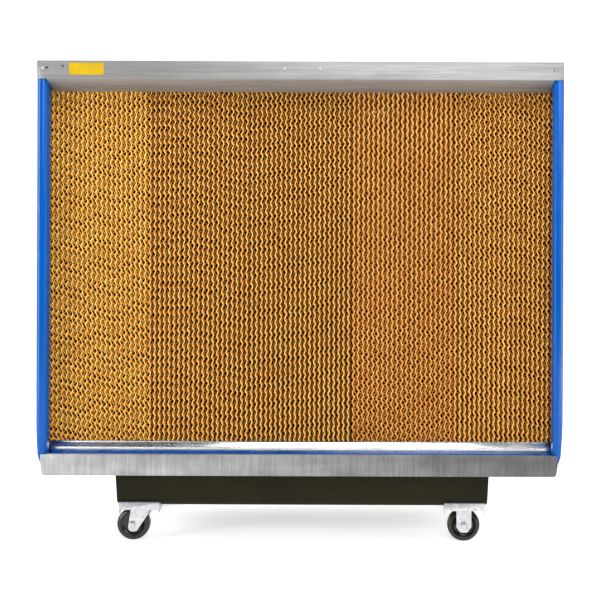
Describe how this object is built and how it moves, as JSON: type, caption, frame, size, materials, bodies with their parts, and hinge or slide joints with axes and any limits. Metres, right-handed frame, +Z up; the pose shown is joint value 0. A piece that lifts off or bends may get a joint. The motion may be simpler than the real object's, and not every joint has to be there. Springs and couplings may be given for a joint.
{
  "type": "evaporative cooler",
  "caption": "Wheeled evaporative cooler: a moulded cabinet that draws air through wetted corrugated pads with a large fan, over a water tank on castors.",
  "frame": {"origin": "centre of the object's box at floor level", "axes": "+X to the right seen from the pad side, +Y towards the fan side, +Z up"},
  "size_m": [1.55, 0.71, 1.44],
  "materials": {
    "blue_plastic": "satin",
    "stainless": "satin",
    "polished_steel": "polished",
    "zinc_plate": "satin",
    "cellulose": "matte",
    "dark_paint": "satin",
    "black_plastic": "satin",
    "tank_plastic": "satin",
    "wheel_plastic": "satin",
    "grey_plastic": "satin",
    "white_plastic": "satin",
    "rubber": "matte",
    "brass": "satin"
  },
  "bodies": {
    "cabinet": {"housing": "blue_plastic", "top_fascia": "stainless", "bottom_rail": "stainless", "pad_retainer": "polished_steel", "pad_top_stop": "zinc_plate", "fascia_bolt_left": "polished_steel", "fascia_bolt_centre_a": "polished_steel", "fascia_bolt_centre_b": "polished_steel", "pad_1": "cellulose", "pad_2": "cellulose", "pad_3": "cellulose", "pad_4": "cellulose", "pad_5": "cellulose", "fan_guard": "black_plastic", "motor_post_left": "zinc_plate", "motor_post_right": "zinc_plate", "motor_cradle": "zinc_plate", "motor_body": "dark_paint", "motor_end_bell": "dark_paint", "control_box": "black_plastic", "control_cover": "stainless", "cord_gland": "black_plastic", "water_tank": "tank_plastic", "castor_channel_left": "zinc_plate", "castor_plate_front_left": "zinc_plate", "castor_plate_rear_left": "zinc_plate", "castor_channel_right": "zinc_plate", "castor_fork_front_right": "zinc_plate", "castor_axle_front_right": "zinc_plate", "castor_fork_rear_right": "zinc_plate", "castor_axle_rear_right": "zinc_plate", "pump_strainer": "black_plastic", "pump_body": "dark_paint", "distribution_header": "white_plastic", "riser_hose": "rubber", "motor_cable": "rubber", "pump_cable": "rubber", "float_valve_body": "brass", "hose_inlet": "brass", "drain_valve_body": "brass"},
    "fan": {"fan_hub": "dark_paint", "fan_blade_1": "black_plastic", "fan_blade_2": "black_plastic", "fan_blade_3": "black_plastic", "fan_blade_4": "black_plastic", "fan_shaft": "polished_steel"},
    "impeller": {"pump_impeller": "grey_plastic"},
    "knob": {"speed_knob": "black_plastic"},
    "rocker": {"pump_switch": "black_plastic"},
    "float": {"float_arm": "brass", "float_ball": "white_plastic"},
    "drain_lever": {"drain_handle": "polished_steel"},
    "swivel_front": {"castor_fork_front_left": "zinc_plate", "castor_axle_front_left": "zinc_plate"},
    "swivel_rear": {"castor_fork_rear_left": "zinc_plate", "castor_axle_rear_left": "zinc_plate"},
    "wheel_front_left": {"castor_wheel_front_left": "wheel_plastic"},
    "wheel_rear_left": {"castor_wheel_rear_left": "wheel_plastic"},
    "wheel_front_right": {"castor_wheel_front_right": "wheel_plastic"},
    "wheel_rear_right": {"castor_wheel_rear_right": "wheel_plastic"}
  },
  "joints": [
    {"name": "fan_spin", "type": "hinge", "parent": "cabinet", "child": "fan", "pos_m": [0, 0.268, 0.84], "axis": [0, 1, 0], "continuous": true},
    {"name": "impeller_spin", "type": "hinge", "parent": "cabinet", "child": "impeller", "pos_m": [0.33, -0.05, 0.15], "axis": [0, 0, 1], "continuous": true},
    {"name": "speed_knob_turn", "type": "hinge", "parent": "cabinet", "child": "knob", "pos_m": [-0.595, 0.3429, 1.06], "axis": [0, -1, 0], "range_deg": [0, 270]},
    {"name": "pump_switch_rock", "type": "hinge", "parent": "cabinet", "child": "rocker", "pos_m": [-0.595, 0.3338, 0.965], "axis": [1, 0, 0], "range_deg": [0, 10]},
    {"name": "float_arm_swing", "type": "hinge", "parent": "cabinet", "child": "float", "pos_m": [-0.43, 0.19, 0.211], "axis": [-1, 0, 0], "range_deg": [0, 14]},
    {"name": "drain_handle_turn", "type": "hinge", "parent": "cabinet", "child": "drain_lever", "pos_m": [0.3, 0.263, 0.162], "axis": [0, 0, 1], "range_deg": [0, 90]},
    {"name": "front_castor_swivel", "type": "hinge", "parent": "cabinet", "child": "swivel_front", "pos_m": [-0.4965, -0.22, 0.1045], "axis": [0, 0, 1], "continuous": true},
    {"name": "rear_castor_swivel", "type": "hinge", "parent": "cabinet", "child": "swivel_rear", "pos_m": [-0.4965, 0.186, 0.1045], "axis": [0, 0, 1], "continuous": true},
    {"name": "wheel_front_left_spin", "type": "hinge", "parent": "swivel_front", "child": "wheel_front_left", "pos_m": [-0.5235, -0.22, 0.05], "axis": [0, 1, 0], "continuous": true},
    {"name": "wheel_rear_left_spin", "type": "hinge", "parent": "swivel_rear", "child": "wheel_rear_left", "pos_m": [-0.5235, 0.186, 0.05], "axis": [0, 1, 0], "continuous": true},
    {"name": "wheel_front_right_spin", "type": "hinge", "parent": "cabinet", "child": "wheel_front_right", "pos_m": [0.4965, -0.22, 0.05], "axis": [0, 1, 0], "continuous": true},
    {"name": "wheel_rear_right_spin", "type": "hinge", "parent": "cabinet", "child": "wheel_rear_right", "pos_m": [0.4965, 0.186, 0.05], "axis": [0, 1, 0], "continuous": true}
  ]
}
